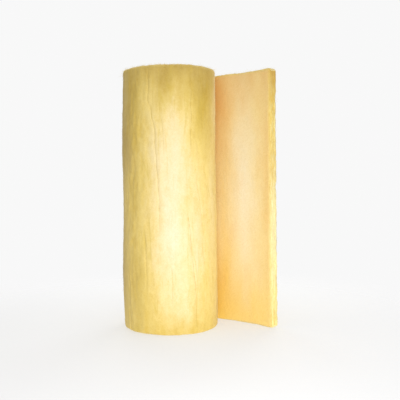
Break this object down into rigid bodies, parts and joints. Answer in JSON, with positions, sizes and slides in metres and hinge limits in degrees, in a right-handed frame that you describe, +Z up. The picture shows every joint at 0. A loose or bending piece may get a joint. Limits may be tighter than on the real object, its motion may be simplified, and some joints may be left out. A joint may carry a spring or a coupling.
{
  "type": "insulation roll",
  "caption": "Glass wool insulation blanket wound into a roll that stands on its end, with its outer end standing off the roll.",
  "frame": {"origin": "on the roll's axis, at the face it stands on", "axes": "+Z up along the roll's axis; the free end leaves the roll at the back right and comes round towards +X and a little -Y; -Y is the side the roll is seen from"},
  "size_m": [0.7193, 0.4548, 1.2],
  "materials": {
    "glass_wool": "matt, fibrous, yellow glass wool"
  },
  "bodies": {
    "root": {"glass_wool_blanket": "glass_wool"}
  },
  "joints": []
}
